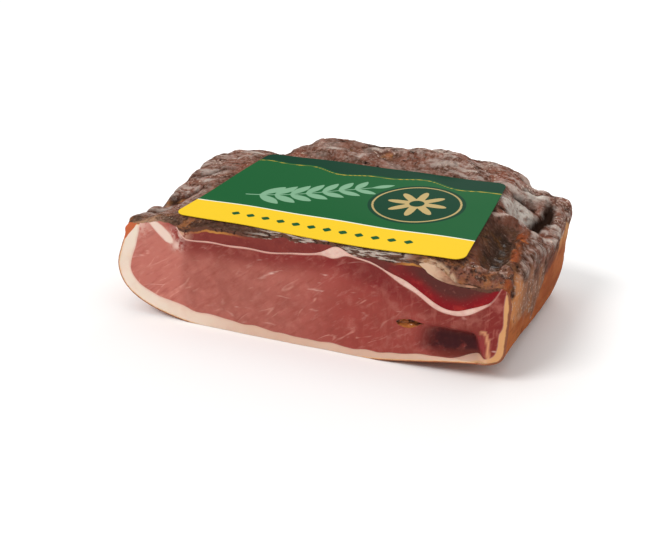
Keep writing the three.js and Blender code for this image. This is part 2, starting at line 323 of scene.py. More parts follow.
def lump(name, radii, turn, place, uneven, material):
    """An uneven lens with the given half axes, thickest left of its middle and turned about Y."""
    work = bmesh.new()
    bmesh.ops.create_uvsphere(work, u_segments=64, v_segments=40, radius=1)
    directions = [v.co.copy() for v in work.verts]
    faces = [[v.index for v in f.verts] for f in work.faces]
    work.free()
    spin = Matrix.Rotation(math.radians(turn), 3, "Y")
    points = []
    for d in directions:
        broad = noise.noise(d * 1.7 + Vector(place))
        fine = noise.noise(d * 4.5 + Vector(place))
        reach = 1 + uneven * (broad + 0.5 * fine)
        d.z *= (1 - 0.5 * d.x ** 2) * (1 - 0.35 * d.x)
        points.append(spin @ Vector([a * b * reach for a, b in zip(d, radii)]) + Vector(place))
    return face_outwards(mesh_object(name, points, faces, [material]))


def points_of(shape):
    """The object's points in millimetres in the block's frame."""
    flat = np.empty(len(shape.data.vertices) * 3, np.float32)
    shape.data.vertices.foreach_get("co", flat)
    return flat.reshape(-1, 3).astype(float) / MM + MIDDLE


def carve(body, operation, *tools):
    """Cuts body by the tools, or keeps what lies in all of them, and leaves it a plain mesh."""
    for tool in tools:
        step = body.modifiers.new("carve", "BOOLEAN")
        step.operation = operation
        # This solver keeps the solids closed, and the faces of the cut take the tool's material
        step.solver = "MANIFOLD"
        step.material_mode = "TRANSFER"
        step.object = tool
        depsgraph = bpy.context.evaluated_depsgraph_get()
        carved = bpy.data.meshes.new_from_object(body.evaluated_get(depsgraph), depsgraph=depsgraph)
        body.modifiers.clear()
        body.data = carved
    return body


def copy_of(shape, name):
    twin = bpy.data.objects.new(name, shape.data.copy())
    bpy.context.scene.collection.objects.link(twin)
    return twin


def keep_largest(shape):
    """Drops the slivers that a cut leaves."""
    work = bmesh.new()
    work.from_mesh(shape.data)
    left, parts = set(work.verts), []
    while left:
        front = [left.pop()]
        part = list(front)
        while front:
            near = {e.other_vert(v) for v in front for e in v.link_edges} & left
            left -= near
            front = list(near)
            part += front
        parts.append(part)
    parts.sort(key=len)
    bmesh.ops.delete(work, geom=[v for part in parts[:-1] for v in part], context="VERTS")
    work.to_mesh(shape.data)
    work.free()


def paint(shape, name, values):
    """Stores one number for each point, for the materials to read."""
    layer = shape.data.attributes.new(name, "FLOAT", "POINT")
    layer.data.foreach_set("value", np.asarray(values, np.float32))


# The block
def unevenness(p):
    """Slow noise between about -1 and 1, for edges that wander. p holds points in rows."""
    return np.array([noise.noise(Vector(q) / 17) + 0.5 * noise.noise(Vector(q) / 6) for q in p])


def crusted(p):
    """1 where the skin is smoked crust, 0 where it is bare rind."""
    x, y, z = p.T
    drop = crust_height(x, y) - z + 9 * unevenness(p)
    left = 1 - smoothstep(drop, 3, 13)
    at_corner = smoothstep(y, 106, 122)
    hanging = drop - 12 * bell(y, 92, 18) + 11 * bell(y, 0, 12) * smoothstep(drop, 0, 9)
    right = 1 - smoothstep(hanging, lerp(2, 6, at_corner), lerp(20, 13, at_corner))
    back = 1 - smoothstep(drop, 25, 62)
    sides = lerp(left, right, smoothstep(x, 60, 80))
    return lerp(sides, back, smoothstep(y, DEPTH - 22, DEPTH - 4))


def dulled(p):
    """1 where the right side has dried to a dull grey brown, 0 where its rind is still amber."""
    x, y, z = p.T
    wander = 9 * unevenness(p)
    over_amber = z - 35 + 0.28 * np.minimum(y, 58) + wander
    behind_it = y - 76 - 0.45 * (z - 34) + wander
    return smoothstep(x, 80, 97) * smoothstep(over_amber, -6, 6) * (1 - smoothstep(behind_it, -6, 8))


def pale_bloom_and_highlight(p):
    """How much pale bloom of salt and dried fat, and painted highlight, lies on the skin, from 0 to 1."""
    x, y, z = p.T
    left = smoothstep(-x, 70, 98) * smoothstep(y, 0, 16)
    behind = lerp(0.45, 0.65, smoothstep(x, -10, 40)) * smoothstep(y, 100, 118)
    # The hollow, the rim and the lips get painted highlight as well as bloom
    hollow = 0.6 * bell(y, 97, 12) * smoothstep(x, 74, 82) * (1 - smoothstep(x, 96, 104))
    rim = (0.65 + bell(y, 98, 17)) * smoothstep(x, 98, 102) * smoothstep(z, 42, 56)
    on_lips = 0.9 * np.clip(drawn(LIPS, x, y) - 0.5, 0, 1) * smoothstep(z, 40, 50)
    return np.clip(0.15 + 0.68 * left + behind + hollow + rim + on_lips, 0, 1)


def sunken(x, y):
    """1 in the trough between the label and the rolled edge of the crust, which painted shade darkens."""
    return bell(x, 88, 8) * (1 - smoothstep(y, 62, 76))


def bared(x, y):
    """How much pale fat shows at the front edge of the crust: over the pad, the seam and the strip."""
    over_pad = 1 - smoothstep(np.hypot((x - 64) / 11, y / 4.5), 0.7, 1)
    over_seam = 0.7 * bell(x, 6, 5) * (1 - smoothstep(y, 1, 4))
    over_strip = 0.5 * bell(x, -100, 7) * (1 - smoothstep(y, 2, 9))
    return over_pad + over_seam + over_strip


def knobs(p):
    """Height of the knobs along the rolled edge, right of the trough."""
    x, y, _ = p.T
    near = bell(x, 97, 3.2) * smoothstep(y, -2, 4) * (1 - smoothstep(y, 70, 80))
    rough = np.zeros(len(p))
    for i in np.flatnonzero(near > 0.02):
        q = Vector(p[i])
        rough[i] = noise.noise(q / 5.5) + 0.5 * noise.noise(q / 2.4)
    return near * (0.6 + 3.2 * rough)


def drawn(marks, x, y):
    """Height of the lips, creases or sheets in marks, over the plan."""
    total = np.zeros_like(x)
    for (x0, y0), (x1, y1), bow, height, half in marks:
        long = math.hypot(x1 - x0, y1 - y0)
        ahead = ((x - x0) * (x1 - x0) + (y - y0) * (y1 - y0)) / long ** 2
        beside = ((y - y0) * (x1 - x0) - (x - x0) * (y1 - y0)) / long
        sway = bow * np.sin(math.pi * ahead) + 0.9 * np.sin(ahead * long / 3.7 + bow)
        ends = smoothstep(ahead, -0.08, 0.2) * (1 - smoothstep(ahead, 0.8, 1.08))
        total += height * ends * bell(beside, sway, half)
    return total


def wrinkle(q):
    """Wrinkles of the dried crust at a point: 0 in a crease, about 1 on a ridge."""
    q = Vector(q)
    bent = q + 8 * noise.noise_vector(q / 24)
    long_creases = min(abs(noise.noise(Vector((bent.x / 34, bent.y / 11, bent.z / 15)))) * 2.4, 1)
    short_creases = min(abs(noise.noise(Vector((bent.x / 11, bent.y / 6, bent.z / 7)))) * 2.2, 1)
    pebbles = noise.noise(q / 2.6) + 0.7 * noise.noise(q / 1.3)
    return 0.55 * long_creases ** 0.5 + 0.22 * short_creases ** 0.7 + 0.13 * pebbles


def block_ring(y):
    """The block's outline at y, with the folds of its crust."""
    at = max(y, 0)
    v = at / DEPTH
    # How far each rounded corner reaches across and up
    corner = {
        "foot_left": (50, 24),
        "foot_right": (12, 9),
        "top_left": (8, 7),
        "top_right": (8 + 8 * v, 9 + 4 * v),
    }
    count = {
        "foot": int(155 / FOOT_STEP),
        "side": int(40 / CRUST_STEP),
        "top": int(205 / CRUST_STEP),
        "corner": int(14 / CRUST_STEP),
    }
    flat = outline(
        lambda z: left_side(z, at),
        lambda z: right_side(z, at),
        lambda x: underside(x, at),
        lambda x: crust_height(x, at),
        corner,
        count,
    )
    inset = corner_inset(at, DEPTH - BACK_ROUND, BACK_ROUND)
    centre = np.array([(left_side(34, at) + right_side(34, at)) / 2, 34])
    shrink = np.array([1 - inset / 118, 1 - inset / 40])
    across = np.roll(flat, -1, 0) - np.roll(flat, 1, 0)
    out = np.stack([across[:, 1], -across[:, 0]], 1)
    out /= np.linalg.norm(out, axis=1)[:, None]
    x, z = flat.T
    unrolled = x + np.sign(x) * (crust_height(x, at) - z)
    flat_front = 0.95 * under_label(x, max(at, LABEL_FRONT))
    calm_left = 0.35 * smoothstep(-x, 80, 95)
    open_crust = 1 - flat_front * smoothstep(out[:, 1], 0.3, 0.8) - 0.6 * sunken(x, at) - calm_left
    share = smoothstep(z, 8, 45) * lerp(0.15, 1, smoothstep(out[:, 1], 0.2, 0.7))
    lifted = flat + out * (folds(unrolled, at) * open_crust * share)[:, None]
    lifted = (lifted - centre) * shrink + centre
    return np.stack([lifted[:, 0], np.full(len(flat), float(y)), lifted[:, 1]], 1)


def block_skin(skin):
    """The whole block with its fine wrinkles, before it is cut."""
    straight = DEPTH - BACK_ROUND
    rows = np.arange(-5 * CRUST_STEP, straight, CRUST_STEP)
    turning = straight + BACK_ROUND * np.sin(np.linspace(0, math.pi / 2, 26))
    block = loft("block", [block_ring(y) for y in (*rows, *turning)], skin)
    p = points_of(block)
    normals = np.array([v.vector for v in block.data.vertex_normals])
    ridge = np.array([wrinkle(q) for q in p])
    bare = 1 - 0.97 * under_label(p[:, 0], p[:, 1]) * smoothstep(normals[:, 2], 0.3, 0.8)
    x, y, z = p.T
    sheets = drawn(SHEETS, x, y)
    calm_left = 0.55 * smoothstep(-x, 74, 90) * smoothstep(y, 8, 24)
    calm = 1 - 0.85 * sunken(x, y) - calm_left - 0.2 * sheets
    rough = np.maximum(crusted(p), 0.5 * dulled(p))
    height = lerp(0.5, 2.5, rough) * (ridge - 0.5) * calm * smoothstep(z, 0, 14)
    raised = (drawn(LIPS, x, y) + sheets + knobs(p)) * smoothstep(normals[:, 2], 0.2, 0.6)
    height = bare * (height + raised)
    block.data.vertices.foreach_set("co", ((p + normals * height[:, None] - MIDDLE) * MM).ravel())
    return block


def fold(x, z, soft):
    """1 in the fold at the lower right of the cut, a dent that painted shade darkens. It fades upwards
    over soft millimetres.
    """
    along = smoothstep(x, 54, 68) * (1 - smoothstep(x + 0.35 * (z - 18), 85, 90))
    return along * smoothstep(z, 9, 12) * (1 - smoothstep(z, 27 - soft, 27))


def rind_tip(x, z):
    """1 in the crescent of orange rind at the top left of the cut, wider towards its top."""
    wide = lerp(1.2, 7, smoothstep(z, 43, 57))
    return smoothstep(z, 42, 46) * (1 - smoothstep(x - left_side(z, 0) - wide, -0.8, 0.8))


def streaked(x, z, half):
    """1 on the tan streak at the lower right of the cut."""
    away = np.full(len(x), 99.0)
    for (x0, z0), (x1, z1) in zip(SIDE_STREAK, SIDE_STREAK[1:]):
        ahead = ((x - x0) * (x1 - x0) + (z - z0) * (z1 - z0)) / ((x1 - x0) ** 2 + (z1 - z0) ** 2)
        ahead = np.clip(ahead, 0, 1)
        away = np.minimum(away, np.hypot(x - lerp(x0, x1, ahead), z - lerp(z0, z1, ahead)))
    return 1 - smoothstep(away, 0.5 * half, 1.5 * half)


def knife_cut(cut):
    """All that the knife took away. Its face is the cut, with the faint waves of a long blade."""
    xs = np.arange(-134, 135, CUT_STEP)
    zs = np.arange(-6, 96, CUT_STEP)
    rings = []
    for x in xs:
        wave = [
            0.35 * math.sin(x / 21 + z / 34) + 0.3 * noise.noise(Vector((x / 15, 0, z / 15)))
            for z in zs
        ]
        face = np.stack([np.full(len(zs), x), wave + 8 * fold(x, zs, 6), zs], 1)
        rings.append(np.concatenate([face, [(x, -30, zs[-1]), (x, -30, zs[0])]]))
    return loft("knife_cut", rings, cut)


# The layers inside
def wavering(flat, y, by):
    """Lets the edge of a layer waver, as grown tissue does. flat holds x and z in rows."""
    moved = [noise.noise_vector(Vector((x / 9, y / 40, z / 9))) for x, z in flat]
    return flat + by * np.array([(m.x, m.z) for m in moved])


def flesh(grow, cut):
    """All that lies inside the fat, run past the crust and past both ends."""
    def ring(y):
        at = float(np.clip(y, 0, DEPTH))

        def foot(x):
            fat = lerp(*FAT_BOTTOM, smoothstep(x, -80, 0)) - 1.5 * smoothstep(x, 50, 80) - grow
            return np.maximum(underside(x, at), 0) + fat

        def right(z):
            thicker = 0.8 * smoothstep(z, 40, 50) + 1.4 * (1 - smoothstep(z, 26, 31))
            return right_side(z, at) - FAT_RIGHT - thicker * (1 - smoothstep(at, 10, 30)) + grow

        flat = outline(
            lambda z: left_side(z, at) + FAT_LEFT - grow,
            right,
            foot,
            lambda x: np.full_like(np.asarray(x, float), OVER_CRUST),
            {"foot_left": (46, 15), "foot_right": (8, 6), "top_left": (1, 1), "top_right": (1, 1)},
            {"foot": 90, "side": 60, "top": 2, "corner": 14},
        )
        flat = wavering(flat, at, 0.9)
        return np.stack([flat[:, 0], np.full(len(flat), float(y)), flat[:, 1]], 1)

    rows = (-30, -2, 0, *np.linspace(8, DEPTH, 24), DEPTH + 8)
    return loft("flesh", [ring(y) for y in rows], cut)


def seam_level(x, y):
    """Middle of the white seam between the two muscles."""
    swell = 4.5 * bell(x, 12, 17) + 1.2 * bell(x, 14, 4) + 1.3 * bell(x, 28, 9)
    dip = SEAM_DIP * bell(x, 74, np.where(x < 74, 17, 13.5))
    ends = 22 * smoothstep(-x, 76, 94) + 22 * smoothstep(x, 90, 106)
    climb = 0.8 * CROWN_SLOPE * np.clip(y, 0, 115)
    waver = 0.5 * np.sin(x / 5.3) * np.sin(x / 12.1 + 1)
    return SEAM_LEVEL + swell - dip + ends + climb + waver


def seam_half(x):
    thick = lerp(0.65 * SEAM_THIN, SEAM_THICK, smoothstep(x, 34, 50) * (1 - smoothstep(x, 80, 94)))
    return (thick + 4.8 * bell(x, 10, 4.4)) * (1 + 0.25 * np.sin(x / 4.1) * np.sin(x / 9.7)) / 2


def slab(low, high, cut):
    """A slab over the whole plan of the block, between two heights."""
    xs = np.linspace(-140, 140, 260)

    def ring(y):
        under = np.stack([xs, np.full(len(xs), float(y)), low(xs, y)], 1)
        over = np.stack([xs, np.full(len(xs), float(y)), high(xs, y)], 1)
        return np.concatenate([under, over[::-1]])

    rows = (-30, -2, *np.linspace(0, DEPTH + 2, 26), DEPTH + 8)
    return loft("slab", [ring(y) for y in rows], cut)


def fat_strip(grow, cut):
    """A strip of fat that dives from the crust at the left end of the cut."""
    head, tip, half = np.array(STRIP_HEAD), np.array(STRIP_TIP), STRIP_HALF + grow
    along = (tip - head) / np.linalg.norm(tip - head)
    side = np.array([-along[1], along[0]])
    # Its outline: the way from head to tip, and the way off its middle in half thicknesses
    under = ((-0.5, -0.8), (0.0, -0.8), (0.2, -0.9), (0.4, -1.1), (0.6, -1.3), (0.8, -1.3), (0.95, -0.8))
    over = ((0.95, 0.6), (0.8, 1.0), (0.5, 1.05), (0.35, 0.9), (0.2, 0.7), (0, 0.8), (-0.5, 0.8))
    flat = [head + s * (tip - head) + side * t * half for s, t in under]
    flat.append(tip + along * grow)
    flat += [head + s * (tip - head) + side * t * half for s, t in over]
    flat = wavering(np.array(flat), 0, 1.0)

    def ring(y):
        climb = crust_height(-92.0, max(y, 0)) - crust_height(-92.0, 0)
        return np.stack([flat[:, 0], np.full(len(flat), float(y)), flat[:, 1] + climb], 1)

    rows = (-30, -2, *np.linspace(0, 112 + grow, 24))
    return loft("strip", [ring(y) for y in rows], cut)


def fat_pad(grow, cut):
    """A pad of fat under the rolled crust at the right of the cut."""
    return lump("pad", [radius + grow for radius in PAD_RADII], PAD_TURN, PAD_PLACE, 0.15, cut)


# Node materials
def linear(colour):
    """An sRGB hex colour as linear red, green, blue and alpha."""
    parts = [int(colour[i:i + 2], 16) / 255 for i in (1, 3, 5)]
    return (*[c / 12.92 if c <= 0.04045 else ((c + 0.055) / 1.055) ** 2.4 for c in parts], 1.0)


def add(tree, kind, inputs=(), **settings):
    """Adds a node and returns its first output. inputs are values or links, in order or by name."""
    node = tree.nodes.new("ShaderNode" + kind)
    for name, value in settings.items():
        setattr(node, name, value)
    in_order = [socket for socket in node.inputs if socket.enabled]
    by_name = isinstance(inputs, dict)
    for place, value in inputs.items() if by_name else enumerate(inputs):
        socket = node.inputs[place] if by_name else in_order[place]
        if isinstance(value, bpy.types.NodeSocket):
            tree.links.new(value, socket)
        else:
            socket.default_value = value
    return next(socket for socket in node.outputs if socket.enabled) if node.outputs else node


def new_material(name, *numbers):
    """An empty node material, its tree, the place on the piece in metres and its stored numbers."""
    material = bpy.data.materials.new(name)
    material.use_nodes = True
    tree = material.node_tree
    tree.nodes.clear()
    place = add(tree, "TexCoord").node.outputs["Object"]
    stored = {n: add(tree, "Attribute", attribute_name=n).node.outputs["Fac"] for n in numbers}
    return material, tree, place, stored


def surface(tree, settings):
    """Ends a material with one surface shader."""
    add(tree, "OutputMaterial", {"Surface": add(tree, "BsdfPrincipled", settings)})


def per(size):
    """Texture scale that repeats a pattern about every size millimetres."""
    return 1 / (size * MM)


def patches(tree, place, size, low=0.42, high=0.62, most=1.0, detail=4.0, stretch=(1, 1, 1)):
    """Cloudy patches of about size millimetres, drawn out by stretch: 0 between them, most inside."""
    longer = add(tree, "VectorMath", [place, [1 / s for s in stretch]], operation="MULTIPLY")
    cloud = add(tree, "TexNoise", [longer, per(size), detail, 0.6])
    return add(tree, "MapRange", [cloud, low, high, 0, most], interpolation_type="SMOOTHSTEP")


def ragged(tree, value, low, high, place, size, by, most=1.0):
    """0 up to low and most from high on, along an edge that wanders by up to by over size millimetres."""
    wander = add(tree, "TexNoise", [place, per(size), 5.0, 0.62])
    moved = add(tree, "Math", [wander, 2 * by, value], operation="MULTIPLY_ADD")
    return add(tree, "MapRange", [moved, low + by, high + by, 0, most], interpolation_type="SMOOTHSTEP")


def both(tree, *masks):
    """1 only where all the masks are 1."""
    total = masks[0]
    for mask in masks[1:]:
        total = add(tree, "Math", [total, mask], operation="MULTIPLY")
    return total


def stained(tree, ground, *stains):
    """Lays colours over the ground, each where its mask is 1."""
    for colour, mask in stains:
        over = linear(colour) if isinstance(colour, str) else colour
        ground = add(tree, "Mix", [mask, ground, over], data_type="RGBA")
    return ground


def marbling(tree, place, apart, thick, turn, few, most):
    """Short bent threads of fat, thick and apart in millimetres, that rise by turn degrees.

    The higher few is, the fewer threads there are.
    """
    risen = {"Vector": place, "Angle": math.radians(turn)}
    turned = add(tree, "VectorRotate", risen, rotation_type="Y_AXIS")
    longer = add(tree, "VectorMath", [turned, (0.4, 0.4, 1.4)], operation="MULTIPLY")
    level = add(tree, "TexNoise", [longer, per(apart), 1.0, 0.5])
    off = add(tree, "Math", [level, 0.5], operation="SUBTRACT")
    away = add(tree, "Math", [off], operation="ABSOLUTE")
    edge = 0.4 * thick / apart
    thread = add(tree, "MapRange", [away, edge, 0.0, 0, most], interpolation_type="SMOOTHSTEP")
    return both(tree, thread, patches(tree, turned, 4.5, few, few + 0.14, 1.0, 2.0, (3, 1, 1)))


def smoked_crust():
    """Smoked pork skin: wrinkled, waxy brown crust, and smoother amber rind where that is bare."""
    material, tree, place, stored = new_material(
        "smoked_crust", "ridge", "bloom_and_highlight", "tips", "sunken", "front", "rusty", "frayed", "crest_highlight",
        "sheets", "deep_crease_shade", "bared", "by_cut", "dulled", "crust",
    )
    ridge, bloom_and_highlight = stored["ridge"], stored["bloom_and_highlight"]
    tips = ragged(tree, stored["tips"], 0.3, 0.95, place, 2.6, 0.5, 0.9)
    height = add(tree, "SeparateXYZ", [place]).node.outputs["Z"]
    # Tan patches higher up on the rind: its own tan, with painted highlight
    high_tan_and_highlight = ragged(tree, height, 34 * MM, 52 * MM, place, 12, 6 * MM)

    # Painted shade: the creases between the wrinkles are darkened
    wrinkle_shade = ragged(tree, ridge, 0.32, 0.08, place, 3, 0.06)
    # Painted sheen: pale colour on the raised wrinkles where the bloom is heavy
    raised = ragged(tree, ridge, 0.35, 0.7, place, 3, 0.3)
    sheen = both(tree, raised, add(tree, "MapRange", [bloom_and_highlight, 0.5, 0.9]))
    # Small pale specks, partly painted glints of a moist surface
    speckled = patches(tree, place, 14, 0.45, 0.6)
    specks_and_glints = both(tree, patches(tree, place, 1.5, 0.6, 0.68, 0.9, 2.0), speckled)
    # Threads of dried lean are finer than the picture shows, so they are drawn 1.5 mm thick
    fibres = patches(tree, place, 1.5, 0.47, 0.58, 0.9, 4.0, (5, 1, 1))
    brushed = patches(tree, place, 2.2, 0.25, 0.6, 0.9, 6.0, (3, 1, 1))
    bared_fat = both(tree, stored["bared"], patches(tree, place, 3, 0.3, 0.5))
    brown = stained(
        tree,
        linear("#5e3d31"),
        ("#7b5041", patches(tree, place, 11, 0.4, 0.65)),
        ("#7e4331", patches(tree, place, 23, 0.5, 0.66, 0.5)),
        ("#412e22", patches(tree, place, 8, 0.5, 0.64, 0.7)),
        # Painted shade in the trough
        ("#2f2219", both(tree, stored["sunken"], patches(tree, place, 9, 0.25, 0.45, 0.95))),
        ("#6e4a28", both(tree, stored["sunken"], patches(tree, place, 15, 0.5, 0.66, 0.7))),
        # Painted shade under the label's front edge
        ("#412c21", both(tree, stored["front"], patches(tree, place, 7, 0.3, 0.52, 0.85))),
        ("#905a36", both(tree, stored["rusty"], patches(tree, place, 6, 0.4, 0.6, 0.8))),
        ("#33201a", both(tree, stored["rusty"], patches(tree, place, 3.5, 0.5, 0.6, 0.85))),
        ("#bcaea2", both(tree, stored["frayed"], fibres)),
        # Painted shade in the creases
        ("#1c100b", wrinkle_shade),
        # Pale bloom of salt and fat, with painted highlight where the number holds it
        ("#a38478", both(tree, patches(tree, place, 2.2, 0.45, 0.66, 0.8, 8.0), bloom_and_highlight)),
        ("#c2b4aa", both(tree, sheen, patches(tree, place, 6, 0.4, 0.56, 0.7, 6.0, (3, 1, 1)))),
        # Pale specks with painted glints
        ("#dcc3b0", both(tree, specks_and_glints, bloom_and_highlight)),
        # Painted highlight along the crests of the lips
        ("#bba498", ragged(tree, stored["crest_highlight"], 0.3, 0.9, place, 3, 0.25, 0.75)),
        ("#c6bdb3", both(tree, stored["sheets"], brushed)),
        # Painted shade in the drawn creases
        ("#24160f", stored["deep_crease_shade"]),
        ("#bf9f84", bared_fat),
        ("#8a5a34", both(tree, bared_fat, patches(tree, place, 4, 0.46, 0.66, 0.8))),
        ("#8a4528", tips),
        ("#b2652f", both(tree, patches(tree, place, 2.5, 0.5, 0.64, 0.8), tips)),
        ("#3a1d12", both(tree, patches(tree, place, 3.5, 0.48, 0.6, 0.85), tips)),
        # Painted shade in the creases of the orange tips
        ("#24120b", both(tree, wrinkle_shade, tips)),
    )
    streaks = patches(tree, place, 1.6, 0.46, 0.64, 0.5, 5.0, (1, 1, 3.5))
    grooves = patches(tree, place, 1.6, 0.5, 0.64, 0.5, 5.0, (3, 6, 1))
    amber = stained(
        tree,
        linear("#ab5f35"),
        ("#ae6e3c", patches(tree, place, 14, 0.42, 0.64, 0.7, 4.0, (1.5, 2.5, 1))),
        ("#934826", patches(tree, place, 12, 0.45, 0.65, 0.8, 4.0, (2, 3, 1))),
        # Tan higher up on the rind, with painted highlight
        ("#c9935f", both(tree, patches(tree, place, 6, 0.34, 0.54, 0.9, 5.0, (1, 1, 2.5)), high_tan_and_highlight)),
        ("#7a452a", both(tree, grooves, patches(tree, place, 9))),
    )
    tanned = patches(tree, place, 7, 0.2, 0.4, 0.95, 4.0, (1, 1, 2))
    dull = stained(
        tree,
        linear("#8f6450"),
        ("#6e4a3a", patches(tree, place, 7, 0.42, 0.6, 0.7, 4.0, (1, 1, 1.5))),
        ("#9c6440", patches(tree, place, 10, 0.5, 0.66, 0.8, 4.0, (1, 1, 2))),
        ("#c8824f", both(tree, stored["by_cut"], tanned)),
        ("#a58570", both(tree, streaks, patches(tree, place, 8, 0.4, 0.6))),
        # Painted shade in the creases of the dull side
        ("#5c3f32", both(tree, wrinkle_shade, patches(tree, place, 6, 0.4, 0.6, 0.8))),
        ("#c6b5a6", patches(tree, place, 2.2, 0.54, 0.66, 0.7, 6.0)),
    )
    colour = stained(
        tree,
        amber,
        (dull, ragged(tree, stored["dulled"], 0.1, 0.9, place, 4, 0.25)),
        # Painted shade in the creases
        ("#3f2417", both(tree, wrinkle_shade, patches(tree, place, 9, 0.4, 0.6, 0.6))),
        (brown, ragged(tree, stored["crust"], 0.15, 0.85, place, 3, 0.2)),
    )

    worn = add(tree, "MapRange", [patches(tree, place, 6, 0.4, 0.6, 1.0, 6.0), 0, 1, 0.3, 0.6])
    grain = add(tree, "TexNoise", [place, per(1.8), 6.0, 0.7])
    creases = add(tree, "TexNoise", [place, per(5), 4.0, 0.6])
    fine = add(tree, "Bump", {"Height": grain, "Strength": 0.8, "Distance": 0.5 * MM})
    bump = add(tree, "Bump", {"Height": creases, "Strength": 0.6, "Distance": 1.2 * MM, "Normal": fine})
    surface(tree, {
        "Base Color": colour,
        "Roughness": worn,
        "Normal": bump,
        "Specular IOR Level": 0.0,
        "Coat Weight": 0.05,
        "Coat Roughness": 0.12,
        "Subsurface Weight": 0.04,
        "Subsurface Scale": 1.0 * MM,
    })
    return material


def cut_lean():
    """Cured lean, cut across the grain: rose red, moist and finely marbled, darker under the crust."""
    material, tree, place, stored = new_material(
        "cut_lean", "skin_mm", "edge_mm", "near_seam", "deep_red", "flecks", "fold", "flap",
        "side_streak", "rim",
    )
    x, _, z = add(tree, "SeparateXYZ", [place]).node.outputs
    skin = stored["skin_mm"]
    fibrous = ragged(tree, x, 10 * MM, 60 * MM, place, 20, 10 * MM)
    below = ragged(tree, z, 42 * MM, 30 * MM, place, 20, 5 * MM)
    left_of_pocket = add(tree, "MapRange", [x, 55 * MM, 30 * MM])
    risen = {"Vector": place, "Angle": math.radians(GRAIN_TURN)}
    turned = add(tree, "VectorRotate", risen, rotation_type="Y_AXIS")
    threads = marbling(tree, place, 13, 0.9, GRAIN_TURN, 0.48, 0.75)
    colour = stained(
        tree,
        linear("#b66c60"),
        ("#98433c", ragged(tree, x, -44 * MM, 36 * MM, place, 30, 20 * MM)),
        ("#812a29", both(tree, stored["near_seam"], patches(tree, place, 16, 0.1, 0.45, 0.95))),
        ("#7a2b27", ragged(tree, x, 56 * MM, 94 * MM, place, 14, 10 * MM)),
        ("#c07b6e", patches(tree, place, 9, 0.5, 0.72, 0.4)),
        # Muscle fibres are finer than the picture shows, so they are drawn as bundles 2 mm thick
        ("#8f4138", patches(tree, turned, 2.2, 0.48, 0.72, 0.35, 4.0, (5, 1, 1))),
        ("#c88a7c", patches(tree, turned, 2.0, 0.54, 0.74, 0.3, 3.0, (4, 1, 1))),
        ("#b0685c", both(tree, patches(tree, place, 2.2, 0.5, 0.7, 0.4, 3.0, (1, 1, 4)), fibrous)),
        ("#cf9081", both(tree, threads, below, left_of_pocket)),
        ("#d9a294", marbling(tree, place, 12, 1.1, 12, 0.58, 0.65)),
        ("#691c22", stored["deep_red"]),
        ("#e6bfb2", marbling(tree, place, 15, 1.5, 5, 0.62, 0.95)),
        ("#c48a7d", ragged(tree, stored["edge_mm"], 0.6, 0.0, place, 3, 0.3, 0.6)),
        ("#dfbfb1", both(tree, patches(tree, place, 3, 0.38, 0.54, 0.85), stored["flecks"])),
        # Painted shade in the dent at the lower right of the cut
        ("#3f1d20", both(tree, stored["fold"], patches(tree, place, 5, 0.2, 0.5, 0.95))),
        ("#8d3436", stored["flap"]),
        ("#cc9069", stored["side_streak"]),
        ("#75392f", both(tree, ragged(tree, skin, 6.0, 3.0, place, 6, 1.2, 0.7), stored["rim"])),
        ("#4b2b21", both(tree, ragged(tree, skin, 2.4, 1.6, place, 3, 1.2), stored["rim"])),
    )
    grain = add(tree, "TexNoise", [place, per(1.6), 5.0, 0.6])
    surface(tree, {
        "Base Color": colour,
        "Roughness": 0.48,
        "Normal": add(tree, "Bump", {"Height": grain, "Strength": 0.3, "Distance": 0.25 * MM}),
        "Specular IOR Level": 0.06,
        "Coat Weight": 0.03,
        "Coat Roughness": 0.25,
        "Subsurface Weight": 0.1,
        "Subsurface Scale": 1.5 * MM,
    })
    return material


def cut_dried_lean():
    """Lean that smoke and air reach first: brown under the crust, deep red against the seam."""
    material, tree, place, stored = new_material(
        "cut_dried_lean", "skin_mm", "over_seam", "flecks", "amber", "frayed",
    )
    x = add(tree, "SeparateXYZ", [place])
    skin = stored["skin_mm"]
    right = ragged(tree, x, 34 * MM, 58 * MM, place, 12, 6 * MM)
    smoked = ragged(tree, stored["over_seam"], 2.5, 10.5, place, 12, 2.0)
    rim = ragged(tree, skin, 2.0, 1.4, place, 3, 1.2)
    # Threads of dried lean, drawn 1.5 mm thick as on the crust
    fibres = patches(tree, place, 1.5, 0.52, 0.62, 0.8, 3.0, (5, 1, 1))
    colour = stained(
        tree,
        linear("#7c352f"),
        ("#6d2b28", patches(tree, place, 6, 0.4, 0.65, 0.6)),
        ("#5f2c29", ragged(tree, x, 8 * MM, 24 * MM, place, 12, 4 * MM, 0.85)),
        ("#7d141b", right),
        ("#9c2b27", both(tree, patches(tree, place, 7, 0.48, 0.68, 0.7), right)),
        ("#552a26", both(tree, smoked, right)),
        ("#a5685c", patches(tree, place, 1.6, 0.58, 0.72, 0.2, 3.0)),
        ("#d0a58a", both(tree, patches(tree, place, 3, 0.35, 0.5, 0.85), stored["flecks"])),
        ("#b57a3c", both(tree, ragged(tree, skin, 3.1, 2.6, place, 9, 0.8), stored["amber"])),
        ("#5e3d30", rim),
        ("#2f1d16", both(tree, rim, patches(tree, place, 2.5, 0.5, 0.62))),
        ("#bcaea2", both(tree, rim, stored["frayed"], fibres)),
    )
    grain = add(tree, "TexNoise", [place, per(1.6), 5.0, 0.6])
    surface(tree, {
        "Base Color": colour,
        "Roughness": 0.42,
        "Normal": add(tree, "Bump", {"Height": grain, "Strength": 0.35, "Distance": 0.3 * MM}),
        "Specular IOR Level": 0.06,
        "Coat Weight": 0.04,
        "Coat Roughness": 0.25,
        "Subsurface Weight": 0.08,
        "Subsurface Scale": 1.2 * MM,
    })
    return material


